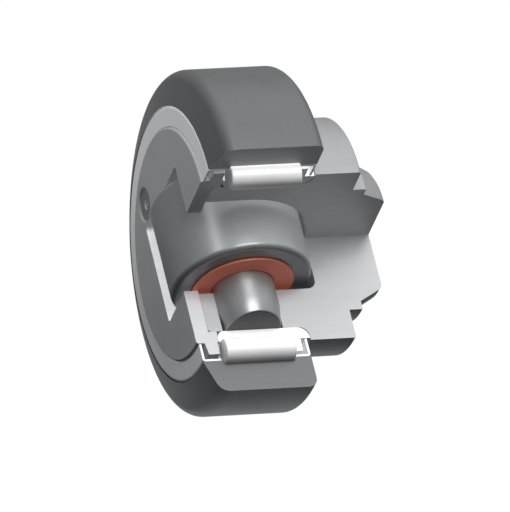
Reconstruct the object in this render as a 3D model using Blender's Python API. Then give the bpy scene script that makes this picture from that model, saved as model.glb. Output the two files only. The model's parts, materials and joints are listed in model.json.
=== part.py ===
"""A combined radial and axial follower roller, cut open by a quarter to show its inside.

A thick outer ring turns on a full complement of cylindrical rollers round a weld-on stud and takes the radial
load. A smaller roller lies across the front end of the stud, turns on needle rollers round a cross pin and
stands a little proud of the front disc to take the axial load.

Lengths are in millimetres and become metres as the meshes are made. A station is a distance back from the
front disc's face along the main axis. The main axis is +Y, towards the weld spigot, the cross pin lies along X
and +Z is up. Angles round the main axis run from +Z towards +X.
"""

import math

import bmesh
import bpy
from mathutils import Matrix, Vector

MM = 0.001

# The sector cut away to show the inside, in degrees from +Z towards +X. 0 builds the whole follower.
OPEN_SECTOR_DEG = 90
SEGMENTS = 72
SMALL_SEGMENTS = 32
ROUND_STEPS = 3

# Clearances
RUNNING_GAP = 0.03
SEAT_GAP = 0.05
FACET_ALLOWANCE = 0.02

# Outer ring
RING_RADIUS = 35.05
RING_FRONT = 0.4
RING_REAR = 23.4
LIP_RADIUS = 27.9
FRONT_CONE_DEG = 18.8
FRONT_ROUND = 2.8
REAR_ROUND = 2.0

# Radial rollers
ROLLER_RADIUS = 2.64
ROLLER_PITCH_RADIUS = 26.1
ROLLER_FRONT = 4.9
ROLLER_REAR = 19.8
ROLLER_CHAMFER = 0.35
ROLLER_COUNT = 29
ROLLER_START_DEG = 2.0
ROLLER_SEGMENTS = 16

# Inner ring
BORE_RADIUS = 21.0
INNER_FRONT = 4.8
INNER_REAR = 24.1
GUIDE_FLANGE_RADIUS = 26.5
GUIDE_FLANGE_FRONT = 20.0
GUIDE_FLANGE_REAR = 22.0
SEAL_LAND_RADIUS = 23.6
INNER_FRONT_ROUND = 1.5
INNER_REAR_ROUND = 2.5

# Seals
SEAL_SHEET = 0.45
SEAL_BORE_RADIUS = 23.8
SEAL_RECESS = 0.05
FRONT_SEAL_DEPTH = 3.9
REAR_SEAL_DEPTH = 3.3

# Front disc
DISC_THICKNESS = 3.0
DISC_LAND_REAR = 1.7
DISC_FLANGE_FRONT = 2.1
DISC_FLANGE_RADIUS = 26.3
DISC_FLANGE_REAR = 4.4
DISC_SKIRT_RADIUS = 23.4
DISC_EDGE_CHAMFER = 0.3
WINDOW_HALF_WIDTH = 11.2
WINDOW_HALF_HEIGHT = 11.8

# Stud
SEAT_CHAMFER = 0.5
COLLAR_RADIUS = 24.1
COLLAR_FRONT = 24.2
COLLAR_REAR = 33.9
COLLAR_CHAMFER = 0.3
SEAT_FILLET = 2.0
SPIGOT_RADIUS = 17.5
SPIGOT_STEP = 36.75
WELD_CONE_RADIUS = 15.6
WELD_CONE_TIP_RADIUS = 13.1
WELD_CONE_REAR = 41.3
STUD_END = 42.0
STUD_END_RADIUS = 12.2

# Axial roller, its cross pin and its pocket
AXIAL_STATION = 12.55
AXIAL_ROLLER_RADIUS = 14.55
AXIAL_ROLLER_HALF = 10.5
AXIAL_ROLLER_ROUND = 1.2
PIN_RADIUS = 6.4
PIN_END_RADIUS = 5.8
PIN_TAPER = 3.2
POCKET_RADIUS = 15.6
POCKET_HALF = 12.0
POCKET_ROUND = 1.8
NEEDLE_RADIUS = 1.25
NEEDLE_HALF = 10.2
NEEDLE_COUNT = 19
NEEDLE_SEGMENTS = 8
WASHER_RADIUS = 10.6
WASHER_THICKNESS = 0.5

# Grease nipple, pressed into the front disc, and the passages behind it
NIPPLE_X = -15.45
NIPPLE_Z = -9.4
NIPPLE_HEAD_RADIUS = 3.75
NIPPLE_HEAD_REAR = 2.8
NIPPLE_STEM_RADIUS = 1.8
NIPPLE_STEM_REAR = 7.0
NIPPLE_BORE_RADIUS = 1.1
NIPPLE_MOUTH_RADIUS = 0.7
NIPPLE_OUTLET_RADIUS = 0.5
NIPPLE_DIMPLE_RADIUS = 1.5
BALL_RADIUS = 0.95
BALL_STATION = 1.45
SPRING_REAR = 5.0
SPRING_TURNS = 4
SPRING_RADIUS = 0.75
SPRING_WIRE_RADIUS = 0.16
GREASE_HOLE_RADIUS = 1.2

# The origin lies halfway along the follower, on the main axis.
FRONTMOST_STATION = AXIAL_STATION - AXIAL_ROLLER_RADIUS
ORIGIN_STATION = (FRONTMOST_STATION + STUD_END) / 2
RACEWAY_RADIUS = ROLLER_PITCH_RADIUS + ROLLER_RADIUS
AXIAL_CENTRE = Vector((0, AXIAL_STATION - ORIGIN_STATION, 0)) * MM
CROSSWISE = Matrix.Rotation(math.radians(-90), 4, "Z")


def clear_scene():
    for old in list(bpy.data.objects):
        bpy.data.objects.remove(old, do_unlink=True)


def material(name, colour, roughness, metallic=1.0):
    made = bpy.data.materials.new(name)
    made.use_nodes = True
    shader = made.node_tree.nodes["Principled BSDF"]
    shader.inputs["Base Color"].default_value = (*colour, 1.0)
    shader.inputs["Roughness"].default_value = roughness
    shader.inputs["Metallic"].default_value = metallic
    return made


def place(name, mesh, parent=None, matrix=None, finish=None):
    """Links a mesh as a named object, smooth except at its real edges."""
    if finish and not mesh.materials:
        mesh.materials.append(finish)
    mesh.shade_smooth()
    mesh.set_sharp_from_angle(angle=math.radians(30))
    made = bpy.data.objects.new(name, mesh)
    bpy.context.scene.collection.objects.link(made)
    made.parent = parent
    if matrix:
        made.matrix_world = matrix
    return made


def axis_empty(name, position):
    """A guide on a joint's axis, which the pieces that turn together hang from."""
    empty = bpy.data.objects.new(name, None)
    empty.location = position
    bpy.context.scene.collection.objects.link(empty)
    bpy.context.view_layer.update()
    return empty


def arc(centre_station, centre_radius, radius, start_deg, end_deg, steps=ROUND_STEPS):
    """Profile points of an arc, both ends included; 0 degrees points along the axis, 90 away from it."""
    angles = [math.radians(start_deg + (end_deg - start_deg) * i / steps) for i in range(steps + 1)]
    return [(centre_station + radius * math.cos(a), centre_radius + radius * math.sin(a)) for a in angles]


def mesh_from(name, build):
    """A closed mesh whose faces point out, made by a function that fills a bmesh."""
    bm = bmesh.new()
    build(bm)
    bmesh.ops.recalc_face_normals(bm, faces=bm.faces)
    mesh = bpy.data.meshes.new(name)
    bm.to_mesh(mesh)
    bm.free()
    return mesh


def turned(name, profile, segments=SEGMENTS, start_deg=0.0, sweep_deg=360.0, zero=0.0):
    """A profile of (station, radius) points turned about +Y, in metres; station zero lands at the origin."""
    whole = sweep_deg >= 360
    steps = round(segments * sweep_deg / 360)

    def build(bm):
        shared = {}
        rows = []
        for step in range(steps if whole else steps + 1):
            angle = math.radians(start_deg + sweep_deg * step / steps)
            row = []
            for index, (station, radius) in enumerate(profile):
                y = (station - zero) * MM
                if radius == 0:
                    vertex = shared.get(index) or bm.verts.new((0, y, 0))
                    shared[index] = vertex
                else:
                    vertex = bm.verts.new((radius * math.sin(angle) * MM, y, radius * math.cos(angle) * MM))
                row.append(vertex)
            rows.append(row)
        spans = list(zip(rows, rows[1:] + rows[:1])) if whole else list(zip(rows, rows[1:]))
        for row, following in spans:
            for index in range(len(profile)):
                after = (index + 1) % len(profile)
                corners = dict.fromkeys([row[index], row[after], following[after], following[index]])
                if len(corners) > 2:
                    bm.faces.new(corners)
        if not whole:
            bm.faces.new(rows[0])
            bm.faces.new(rows[-1])

    return mesh_from(name, build)


def cut_turned(name, profile):
    """A piece turned about the main axis that the open sector cuts through."""
    return turned(name, profile, SEGMENTS, OPEN_SECTOR_DEG, 360 - OPEN_SECTOR_DEG, ORIGIN_STATION)


def rod(name, start, end, radius, segments=SMALL_SEGMENTS):
    """A plain cylinder from station start to station end, on its own axis."""
    return turned(name, [(start, 0), (start, radius), (end, radius), (end, 0)], segments)


def chamfered_rod(name, half, radius, chamfer, segments):
    profile = [(-half, 0), (-half, radius - chamfer), (-half + chamfer, radius)]
    profile += [(-station, r) for station, r in reversed(profile)]
    return turned(name, profile, segments)


def cutter(name, mesh, matrix=None):
    tool = place(name, mesh, matrix=matrix)
    tool.hide_render = True
    tool.display_type = "WIRE"
    return tool


def cut(target, *tools):
    for tool in tools:
        modifier = target.modifiers.new(tool.name, "BOOLEAN")
        modifier.operation = "DIFFERENCE"
        modifier.solver = "EXACT"
        modifier.object = tool


def make_outer_ring(steel, parent):
    """The thick ring with a coned front face, round outer corners and the outer raceway in its bore."""
    groove = RACEWAY_RADIUS + RUNNING_GAP + FACET_ALLOWANCE
    groove_front = ROLLER_FRONT - SEAT_GAP
    groove_rear = ROLLER_REAR + SEAT_GAP
    tangent = 180 - FRONT_CONE_DEG
    cone_end_radius = RING_RADIUS - FRONT_ROUND * (1 - math.sin(math.radians(tangent)))
    cone_end = RING_FRONT + (cone_end_radius - LIP_RADIUS) * math.tan(math.radians(FRONT_CONE_DEG))
    front_centre = cone_end - FRONT_ROUND * math.cos(math.radians(tangent))
    profile = [(RING_FRONT, LIP_RADIUS)]
    profile += arc(front_centre, RING_RADIUS - FRONT_ROUND, FRONT_ROUND, tangent, 90)
    profile += arc(RING_REAR - REAR_ROUND, RING_RADIUS - REAR_ROUND, REAR_ROUND, 90, 0)
    profile += [(RING_REAR, LIP_RADIUS), (groove_rear, LIP_RADIUS), (groove_rear, groove)]
    profile += [(groove_front, groove), (groove_front, LIP_RADIUS)]
    place("outer_ring", cut_turned("outer_ring", profile), parent, finish=steel)


def make_seals(sheet, parent):
    """Two pressed sheet rings: a flat web close over the inner land, and a skirt held in the ring's lip."""
    outside = LIP_RADIUS - SEAT_GAP
    inside = outside - SEAL_SHEET
    places = {
        "front_seal": (RING_FRONT + SEAL_RECESS, 1, FRONT_SEAL_DEPTH),
        "rear_seal": (RING_REAR - SEAL_RECESS, -1, REAR_SEAL_DEPTH),
    }
    for name, (face, inwards, depth) in places.items():
        web_back = face + inwards * SEAL_SHEET
        skirt_end = face + inwards * depth
        profile = [(face, SEAL_BORE_RADIUS), (face, outside), (skirt_end, outside), (skirt_end, inside)]
        profile += [(web_back, inside), (web_back, SEAL_BORE_RADIUS)]
        place(name, cut_turned(name, profile), parent, finish=sheet)


def make_inner_ring(steel, grease_tools):
    """The hardened ring on the stud: raceway, roller guiding flange, seal land and a rounded rear corner."""
    raceway = ROLLER_PITCH_RADIUS - ROLLER_RADIUS - RUNNING_GAP
    front_corner = (INNER_FRONT + INNER_FRONT_ROUND, BORE_RADIUS + INNER_FRONT_ROUND)
    rear_corner = (INNER_REAR - INNER_REAR_ROUND, BORE_RADIUS + INNER_REAR_ROUND)
    profile = arc(*front_corner, INNER_FRONT_ROUND, 270, 180)
    profile += [(INNER_FRONT, raceway), (GUIDE_FLANGE_FRONT, raceway)]
    profile += [(GUIDE_FLANGE_FRONT, GUIDE_FLANGE_RADIUS), (GUIDE_FLANGE_REAR, GUIDE_FLANGE_RADIUS)]
    profile += [(GUIDE_FLANGE_REAR, SEAL_LAND_RADIUS), (INNER_REAR, SEAL_LAND_RADIUS)]
    profile += arc(*rear_corner, INNER_REAR_ROUND, 0, -90)
    ring = place("inner_ring", cut_turned("inner_ring", profile), finish=steel)
    cut(ring, *grease_tools)


def make_rollers(steel, parent):
    """The full complement, without the rollers that would lie wholly inside the open sector."""
    half = (ROLLER_REAR - ROLLER_FRONT) / 2
    middle = (ROLLER_REAR + ROLLER_FRONT) / 2 - ORIGIN_STATION
    mesh = chamfered_rod("radial_roller", half, ROLLER_RADIUS, ROLLER_CHAMFER, ROLLER_SEGMENTS)
    half_width_deg = math.degrees(math.asin(ROLLER_RADIUS / ROLLER_PITCH_RADIUS))
    number = 0
    for index in range(ROLLER_COUNT):
        angle_deg = ROLLER_START_DEG + index * 360 / ROLLER_COUNT
        if half_width_deg < angle_deg < OPEN_SECTOR_DEG - half_width_deg:
            continue
        number += 1
        turn = Matrix.Rotation(math.radians(angle_deg), 4, "Y")
        lift = Matrix.Translation(Vector((0, middle, ROLLER_PITCH_RADIUS)) * MM)
        place(f"roller_{number:02d}", mesh, parent, turn @ lift, steel)


def make_front_disc(steel, tools):
    """The retaining disc: a window for the axial roller, a roller guiding flange and a counterbore."""
    skirt_rear = INNER_FRONT - SEAT_GAP
    profile = [(0, 0), (0, SEAL_LAND_RADIUS - DISC_EDGE_CHAMFER), (DISC_EDGE_CHAMFER, SEAL_LAND_RADIUS)]
    profile += [(DISC_LAND_REAR, SEAL_LAND_RADIUS), (DISC_FLANGE_FRONT, DISC_FLANGE_RADIUS)]
    profile += [(DISC_FLANGE_REAR, DISC_FLANGE_RADIUS), (DISC_FLANGE_REAR, DISC_SKIRT_RADIUS)]
    profile += [(skirt_rear, DISC_SKIRT_RADIUS), (skirt_rear, BORE_RADIUS)]
    profile += [(DISC_THICKNESS, BORE_RADIUS), (DISC_THICKNESS, 0)]
    disc = place("front_disc", cut_turned("front_disc", profile), finish=steel)
    cut(disc, *tools)


def make_stud(steel, tools):
    """The solid stud: ring seat, filleted collar and a spigot with a weld bevel, pocketed at the front."""
    seat = BORE_RADIUS - RUNNING_GAP
    front = DISC_THICKNESS + SEAT_GAP
    profile = [(front, 0), (front, seat - SEAT_CHAMFER), (front + SEAT_CHAMFER, seat)]
    profile += arc(COLLAR_FRONT - SEAT_FILLET, seat + SEAT_FILLET, SEAT_FILLET, -90, 0)
    profile += [(COLLAR_FRONT, COLLAR_RADIUS), (COLLAR_REAR - COLLAR_CHAMFER, COLLAR_RADIUS)]
    profile += [(COLLAR_REAR, COLLAR_RADIUS - COLLAR_CHAMFER), (COLLAR_REAR, SPIGOT_RADIUS)]
    profile += [(SPIGOT_STEP, SPIGOT_RADIUS), (SPIGOT_STEP, WELD_CONE_RADIUS)]
    profile += [(WELD_CONE_REAR, WELD_CONE_TIP_RADIUS), (STUD_END, STUD_END_RADIUS), (STUD_END, 0)]
    stud = place("stud", cut_turned("stud", profile), finish=steel)
    cut(stud, *tools)


def pocket_tool():
    """The pocket's shape: half a round-cornered drum behind the cross pin, carried straight out at the front."""
    corner = arc(POCKET_HALF - POCKET_ROUND, POCKET_RADIUS - POCKET_ROUND, POCKET_ROUND, 0, 90)
    half = [(POCKET_HALF, 0), *corner]
    outline = [(-x, r) for x, r in half] + list(reversed(half))
    steps = SEGMENTS // 2

    def build(bm):
        front = (FRONTMOST_STATION - ORIGIN_STATION) * MM
        rows = [[bm.verts.new((x * MM, front, r * MM)) for x, r in outline]]
        for step in range(steps + 1):
            angle = math.pi * step / steps
            row = []
            for x, r in outline:
                if r == 0 and step > 0:
                    row.append(rows[1][outline.index((x, r))])
                    continue
                behind = AXIAL_CENTRE.y + r * math.sin(angle) * MM
                row.append(bm.verts.new((x * MM, behind, r * math.cos(angle) * MM)))
            rows.append(row)
        last = [bm.verts.new((x * MM, front, -r * MM)) if r else rows[0][i] for i, (x, r) in enumerate(outline)]
        rows.append(last)
        for row, following in zip(rows, rows[1:]):
            for i in range(len(outline) - 1):
                corners = dict.fromkeys([row[i], row[i + 1], following[i + 1], following[i]])
                if len(corners) > 2:
                    bm.faces.new(corners)
        bm.faces.new(rows[0] + last[-2:0:-1])

    return cutter("pocket_tool", mesh_from("pocket_tool", build))


def window_tool():
    mesh = mesh_from("window_tool", lambda bm: bmesh.ops.create_cube(bm, size=2 * MM))
    middle = Matrix.Translation((0, -ORIGIN_STATION * MM, 0))
    stretch = Matrix.Diagonal((WINDOW_HALF_WIDTH, 2 * DISC_THICKNESS, WINDOW_HALF_HEIGHT, 1))
    mesh.transform(middle @ stretch)
    return cutter("window_tool", mesh)


def axle_bore_tool():
    mesh = rod("axle_bore_tool", -RING_RADIUS, RING_RADIUS, PIN_RADIUS + RUNNING_GAP)
    return cutter("axle_bore_tool", mesh, Matrix.Translation(AXIAL_CENTRE) @ CROSSWISE)


def along_nipple(station):
    """Moves a piece turned about +Y onto the nipple's axis, its own zero at that station."""
    return Matrix.Translation(Vector((NIPPLE_X, station - ORIGIN_STATION, NIPPLE_Z)) * MM)


def grease_tools():
    """The nipple's seats in the disc and the stud, and the drillings from there out to the raceway."""
    outlet = (ROLLER_FRONT + ROLLER_REAR) / 2
    head = rod("nipple_head_tool", -1, DISC_THICKNESS + 1, NIPPLE_HEAD_RADIUS + SEAT_GAP)
    stem = rod("nipple_stem_tool", DISC_THICKNESS - 1, NIPPLE_STEM_REAR + SEAT_GAP, NIPPLE_STEM_RADIUS + SEAT_GAP)
    passage = rod("grease_passage_tool", NIPPLE_STEM_REAR - 1, outlet, GREASE_HOLE_RADIUS, ROLLER_SEGMENTS)
    out = math.hypot(NIPPLE_X, NIPPLE_Z)
    cross = rod("cross_hole_tool", out - GREASE_HOLE_RADIUS, RING_RADIUS, GREASE_HOLE_RADIUS, ROLLER_SEGMENTS)
    radial = Matrix.Translation((0, (outlet - ORIGIN_STATION) * MM, 0)) @ outwards()
    return {
        "head": cutter("nipple_head_tool", head, along_nipple(0)),
        "stem": cutter("nipple_stem_tool", stem, along_nipple(0)),
        "passage": cutter("grease_passage_tool", passage, along_nipple(0)),
        "cross": cutter("cross_hole_tool", cross, radial),
    }


def outwards():
    """Turns +Y to point from the main axis through the nipple."""
    return Vector((NIPPLE_X, 0, NIPPLE_Z)).to_track_quat("Y", "Z").to_matrix().to_4x4()


def make_axial_roller(steel):
    """The axial roller: a drum with round ends and a bore that the needles run in."""
    bore = PIN_RADIUS + 2 * (NEEDLE_RADIUS + RUNNING_GAP) + FACET_ALLOWANCE
    corner = (AXIAL_ROLLER_HALF - AXIAL_ROLLER_ROUND, AXIAL_ROLLER_RADIUS - AXIAL_ROLLER_ROUND)
    front = arc(*corner, AXIAL_ROLLER_ROUND, 0, 90)
    profile = [(AXIAL_ROLLER_HALF, bore), *front]
    profile += [(-station, radius) for station, radius in reversed(profile)]
    mesh = turned("axial_roller", profile, SEGMENTS)
    place("axial_roller", mesh, matrix=Matrix.Translation(AXIAL_CENTRE) @ CROSSWISE, finish=steel)


def make_axle_pin(steel):
    """The cross pin, tapered at its ends, which are ground to the seat so that the inner ring holds it in."""
    seat = BORE_RADIUS - 2 * RUNNING_GAP
    end = math.sqrt(seat**2 - PIN_END_RADIUS**2)
    shoulder = end - PIN_TAPER
    profile = [(shoulder, PIN_RADIUS), (end, PIN_END_RADIUS), (seat, 0)]
    profile = [(-station, radius) for station, radius in reversed(profile)] + profile
    mesh = turned("axle_pin", profile, SMALL_SEGMENTS)
    for vertex in mesh.vertices:
        if abs(vertex.co.y) > (shoulder + PIN_TAPER / 2) * MM:
            reach = math.sqrt((seat * MM) ** 2 - vertex.co.z**2)
            vertex.co.y = math.copysign(reach, vertex.co.y)
    place("axle_pin", mesh, matrix=Matrix.Translation(AXIAL_CENTRE) @ CROSSWISE, finish=steel)


def make_thrust_washers(bronze):
    """A flat washer at each end of the axial roller, between its face and the pocket's wall."""
    inside = PIN_RADIUS + SEAT_GAP + RUNNING_GAP
    near = AXIAL_ROLLER_HALF + SEAT_GAP
    far = near + WASHER_THICKNESS
    for name, side in (("thrust_washer_right", 1), ("thrust_washer_left", -1)):
        profile = [(side * near, inside), (side * near, WASHER_RADIUS)]
        profile += [(side * far, WASHER_RADIUS), (side * far, inside)]
        mesh = turned(name, profile, SMALL_SEGMENTS)
        place(name, mesh, matrix=Matrix.Translation(AXIAL_CENTRE) @ CROSSWISE, finish=bronze)


def make_needles(steel, parent):
    """The needle rollers between the cross pin and the axial roller."""
    mesh = rod("needle", -NEEDLE_HALF, NEEDLE_HALF, NEEDLE_RADIUS, NEEDLE_SEGMENTS)
    lift = Matrix.Translation((0, 0, (PIN_RADIUS + RUNNING_GAP + NEEDLE_RADIUS) * MM))
    for index in range(NEEDLE_COUNT):
        turn = Matrix.Rotation(math.radians(index * 360 / NEEDLE_COUNT), 4, "Y")
        matrix = Matrix.Translation(AXIAL_CENTRE) @ CROSSWISE @ turn @ lift
        place(f"needle_{index + 1:02d}", mesh, parent, matrix, steel)


def make_nipple_body(steel):
    """A flush nipple: head, stem, and a bore that narrows to a mouth in front and an outlet behind."""
    seat_front = BALL_STATION - BALL_RADIUS
    profile = [(0, NIPPLE_DIMPLE_RADIUS), (0, NIPPLE_HEAD_RADIUS), (NIPPLE_HEAD_REAR, NIPPLE_HEAD_RADIUS)]
    profile += [(NIPPLE_HEAD_REAR, NIPPLE_STEM_RADIUS), (NIPPLE_STEM_REAR, NIPPLE_STEM_RADIUS)]
    profile += [(NIPPLE_STEM_REAR, NIPPLE_OUTLET_RADIUS), (SPRING_REAR + SEAT_GAP, NIPPLE_OUTLET_RADIUS)]
    profile += [(SPRING_REAR + SEAT_GAP, NIPPLE_BORE_RADIUS), (BALL_STATION, NIPPLE_BORE_RADIUS)]
    profile += [(seat_front, NIPPLE_MOUTH_RADIUS)]
    mesh = turned("grease_nipple_body", profile, SMALL_SEGMENTS)
    place("grease_nipple_body", mesh, matrix=along_nipple(0), finish=steel)


def make_nipple_ball(steel):
    def build(bm):
        bmesh.ops.create_uvsphere(bm, u_segments=16, v_segments=8, radius=BALL_RADIUS * MM)

    place("nipple_ball", mesh_from("nipple_ball", build), matrix=along_nipple(BALL_STATION), finish=steel)


def make_nipple_spring(steel):
    """A small coil spring that holds the ball on its seat."""
    start = BALL_STATION + BALL_RADIUS + SEAT_GAP + SPRING_WIRE_RADIUS
    length = SPRING_REAR - SPRING_WIRE_RADIUS - start
    steps_per_turn = 10
    sides = 6
    steps = SPRING_TURNS * steps_per_turn

    def build(bm):
        rows = []
        for step in range(steps + 1):
            angle = 2 * math.pi * step / steps_per_turn
            outward = Vector((math.cos(angle), 0, math.sin(angle)))
            centre = outward * SPRING_RADIUS + Vector((0, start + length * step / steps, 0))
            row = []
            for side in range(sides):
                around = 2 * math.pi * side / sides
                offset = outward * math.cos(around) + Vector((0, math.sin(around), 0))
                row.append(bm.verts.new((centre + offset * SPRING_WIRE_RADIUS) * MM))
            rows.append(row)
        for row, following in zip(rows, rows[1:]):
            for side in range(sides):
                after = (side + 1) % sides
                bm.faces.new((row[side], row[after], following[after], following[side]))
        bm.faces.new(rows[0])
        bm.faces.new(rows[-1])

    place("nipple_spring", mesh_from("nipple_spring", build), matrix=along_nipple(0), finish=steel)


def build_follower():
    clear_scene()
    ring_steel = material("ring_steel", (0.19, 0.2, 0.21), 0.38)
    stud_steel = material("stud_steel", (0.42, 0.43, 0.44), 0.42)
    bright_steel = material("bright_steel", (0.8, 0.8, 0.81), 0.18)
    seal_sheet = material("seal_sheet", (0.62, 0.63, 0.64), 0.3)
    axial_steel = material("axial_steel", (0.22, 0.23, 0.24), 0.3)
    pin_steel = material("pin_steel", (0.3, 0.31, 0.32), 0.25)
    bronze = material("washer_bronze", (0.55, 0.13, 0.07), 0.45, 0.4)
    nipple_steel = material("nipple_steel", (0.25, 0.26, 0.27), 0.35)

    main_axis = axis_empty("outer_ring_axis", (0, 0, 0))
    roller_axis = axis_empty("roller_set_axis", (0, 0, 0))
    needle_axis = axis_empty("needle_set_axis", AXIAL_CENTRE)

    grease = grease_tools()
    pocket = pocket_tool()
    make_outer_ring(ring_steel, main_axis)
    make_seals(seal_sheet, main_axis)
    make_inner_ring(bright_steel, [grease["cross"]])
    make_rollers(bright_steel, roller_axis)
    make_front_disc(stud_steel, [window_tool(), grease["head"]])
    make_stud(stud_steel, [pocket, axle_bore_tool(), grease["stem"], grease["passage"], grease["cross"]])
    make_axial_roller(axial_steel)
    make_axle_pin(pin_steel)
    make_thrust_washers(bronze)
    make_needles(bright_steel, needle_axis)
    make_nipple_body(nipple_steel)
    make_nipple_ball(bright_steel)
    make_nipple_spring(nipple_steel)


build_follower()
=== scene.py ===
"""Looks for the cut-open combined follower roller: fine meshes, machined steel, studio light and a camera.

Lengths are in millimetres and become metres as the meshes are made. A station is a distance back from the
front disc's face along the main axis, +Y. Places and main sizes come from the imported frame.
"""

import json
import math

import bmesh
import bpy
from mathutils import Matrix, Vector

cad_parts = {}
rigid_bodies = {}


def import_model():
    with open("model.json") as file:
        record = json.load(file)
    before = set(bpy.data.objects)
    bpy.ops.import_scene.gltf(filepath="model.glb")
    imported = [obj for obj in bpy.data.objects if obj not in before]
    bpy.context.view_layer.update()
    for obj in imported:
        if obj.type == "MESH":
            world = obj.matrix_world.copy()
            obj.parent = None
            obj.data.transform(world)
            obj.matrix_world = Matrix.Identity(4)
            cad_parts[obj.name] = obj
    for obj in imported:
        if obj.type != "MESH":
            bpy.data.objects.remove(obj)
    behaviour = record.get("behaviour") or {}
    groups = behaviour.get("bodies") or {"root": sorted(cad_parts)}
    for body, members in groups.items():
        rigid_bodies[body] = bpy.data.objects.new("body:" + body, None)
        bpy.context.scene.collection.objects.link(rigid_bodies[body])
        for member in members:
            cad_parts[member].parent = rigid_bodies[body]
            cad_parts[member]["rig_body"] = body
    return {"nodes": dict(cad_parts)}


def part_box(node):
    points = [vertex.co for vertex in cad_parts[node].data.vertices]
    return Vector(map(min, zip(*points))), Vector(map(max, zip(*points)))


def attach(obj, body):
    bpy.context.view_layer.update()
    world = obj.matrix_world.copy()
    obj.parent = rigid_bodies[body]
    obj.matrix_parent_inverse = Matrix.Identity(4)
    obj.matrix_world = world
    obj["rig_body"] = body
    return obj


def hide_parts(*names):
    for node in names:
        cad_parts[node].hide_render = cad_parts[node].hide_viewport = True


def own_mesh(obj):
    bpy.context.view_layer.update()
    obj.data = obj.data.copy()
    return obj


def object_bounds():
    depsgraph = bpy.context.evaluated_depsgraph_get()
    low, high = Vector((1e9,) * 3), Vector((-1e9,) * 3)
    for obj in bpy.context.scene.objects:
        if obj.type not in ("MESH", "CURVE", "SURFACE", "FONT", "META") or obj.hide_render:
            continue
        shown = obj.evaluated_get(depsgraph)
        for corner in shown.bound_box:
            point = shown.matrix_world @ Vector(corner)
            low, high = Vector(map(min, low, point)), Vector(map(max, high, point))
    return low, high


MM = 0.001

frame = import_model()
cad_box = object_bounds()

# Finer than the CAD: steps of a full turn and of a rounded corner
TURN_STEPS = 216
SMALL_TURN_STEPS = 72
NEEDLE_TURN_STEPS = 24
ROUND_STEPS = 10

# Sharp corners are broken over this size, and the shading has an edge where the surface turns by more
# than the angle
EDGE_BREAK = 0.12
SHADED_EDGE_DEG = 38

# How far a cutter runs on past the surface that it cuts
OVERCUT = 1

# The open sector, in degrees from +Z towards +X
OPEN_SECTOR_DEG = 90

# Outer ring and radial rollers
LIP_RADIUS = 27.9
FRONT_CONE_DEG = 18.8
FRONT_ROUND = 2.8
REAR_ROUND = 2.0
ROLLER_RADIUS = 2.64
ROLLER_PITCH_RADIUS = 26.1
ROLLER_ROUND = 0.35
ROLLER_DIMPLE_RADIUS = 0.9
ROLLER_DIMPLE_DEPTH = 0.15
RUNNING_GAP = 0.03
SEAT_GAP = 0.05

# Inner ring
BORE_RADIUS = 21.0
INNER_FRONT_ROUND = 1.5
INNER_REAR_ROUND = 2.5
GUIDE_FLANGE = (20.0, 22.0)
SEAL_LAND_RADIUS = 23.6

# Seals
SEAL_SHEET = 0.45
SEAL_BORE_RADIUS = 23.8
SEAL_BEND = 0.6
SEAL_EDGE_BREAK = 0.08

# Front disc
DISC_THICKNESS = 3.0
DISC_LAND_REAR = 1.7
DISC_FLANGE_FRONT = 2.1
DISC_FLANGE_REAR = 4.4
DISC_SKIRT_RADIUS = 23.4
DISC_EDGE_CHAMFER = 0.3
WINDOW_HALF_WIDTH = 11.2
WINDOW_HALF_HEIGHT = 11.8
WINDOW_CORNER = 0.8

# Stud
SEAT_CHAMFER = 0.5
COLLAR_FRONT = 24.2
COLLAR_REAR = 33.9
COLLAR_CHAMFER = 0.3
SEAT_FILLET = 2.0
SPIGOT_RADIUS = 17.5
SPIGOT_STEP = 36.75
WELD_CONE_RADIUS = 15.6
WELD_CONE_TIP_RADIUS = 13.1
WELD_CONE_REAR = 41.3
STUD_END_RADIUS = 12.2

# Cross pin, pocket, axial roller and needles
AXIAL_ROLLER_ROUND = 1.2
PIN_RADIUS = 6.4
PIN_END_RADIUS = 5.8
PIN_TAPER = 3.2
PIN_EDGE_BREAK = 0.3
POCKET_RADIUS = 15.6
POCKET_HALF = 12.0
POCKET_ROUND = 1.8
NEEDLE_RADIUS = 1.25
NEEDLE_ROUND = 0.3

# Grease nipple and drillings
NIPPLE_HEAD_RADIUS = 3.75
NIPPLE_HEAD_REAR = 2.8
NIPPLE_STEM_RADIUS = 1.8
NIPPLE_STEM_REAR = 7.0
NIPPLE_BORE_RADIUS = 1.1
NIPPLE_MOUTH_RADIUS = 0.7
NIPPLE_OUTLET_RADIUS = 0.5
NIPPLE_RIM = 0.25
NIPPLE_DISH_DEPTH = 0.35
NIPPLE_DISH_SLOPE = 0.15
NIPPLE_MOUTH_SLOPE = 0.3
NIPPLE_EDGE_BREAK = 0.1
SPRING_REAR = 5.0
SPRING_TURNS = 4
SPRING_RADIUS = 0.75
SPRING_WIRE_RADIUS = 0.16
GREASE_HOLE_RADIUS = 1.2

# Sizes of the stains, the worn specks and the worn edges on the steel
STAIN_SIZE = 6
SPECK_SIZE = 0.5
WORN_EDGE_WIDTH = 0.22

# The sky's brightness towards -X and towards +X, and its share at the horizon and at the front
SKY_LEFT = 1.5
SKY_RIGHT = 0.0
SKY_LOW = 0.6
SKY_FRONT = 0.35

# How far off the fill lights and glints stand, in metres
FILL_DISTANCE = 0.5

# The floor: half its width, and its greys to the left and right of the strip in which they change. The cast
# grey is what lights the steel, and the card grey is what the steel mirrors.
FLOOR_HALF = 3000
FLOOR_CHANGE = (-40, 30)
FLOOR_CAST = (0.7, 0.05)
FLOOR_CARD = (0.34, 0.03)

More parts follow.
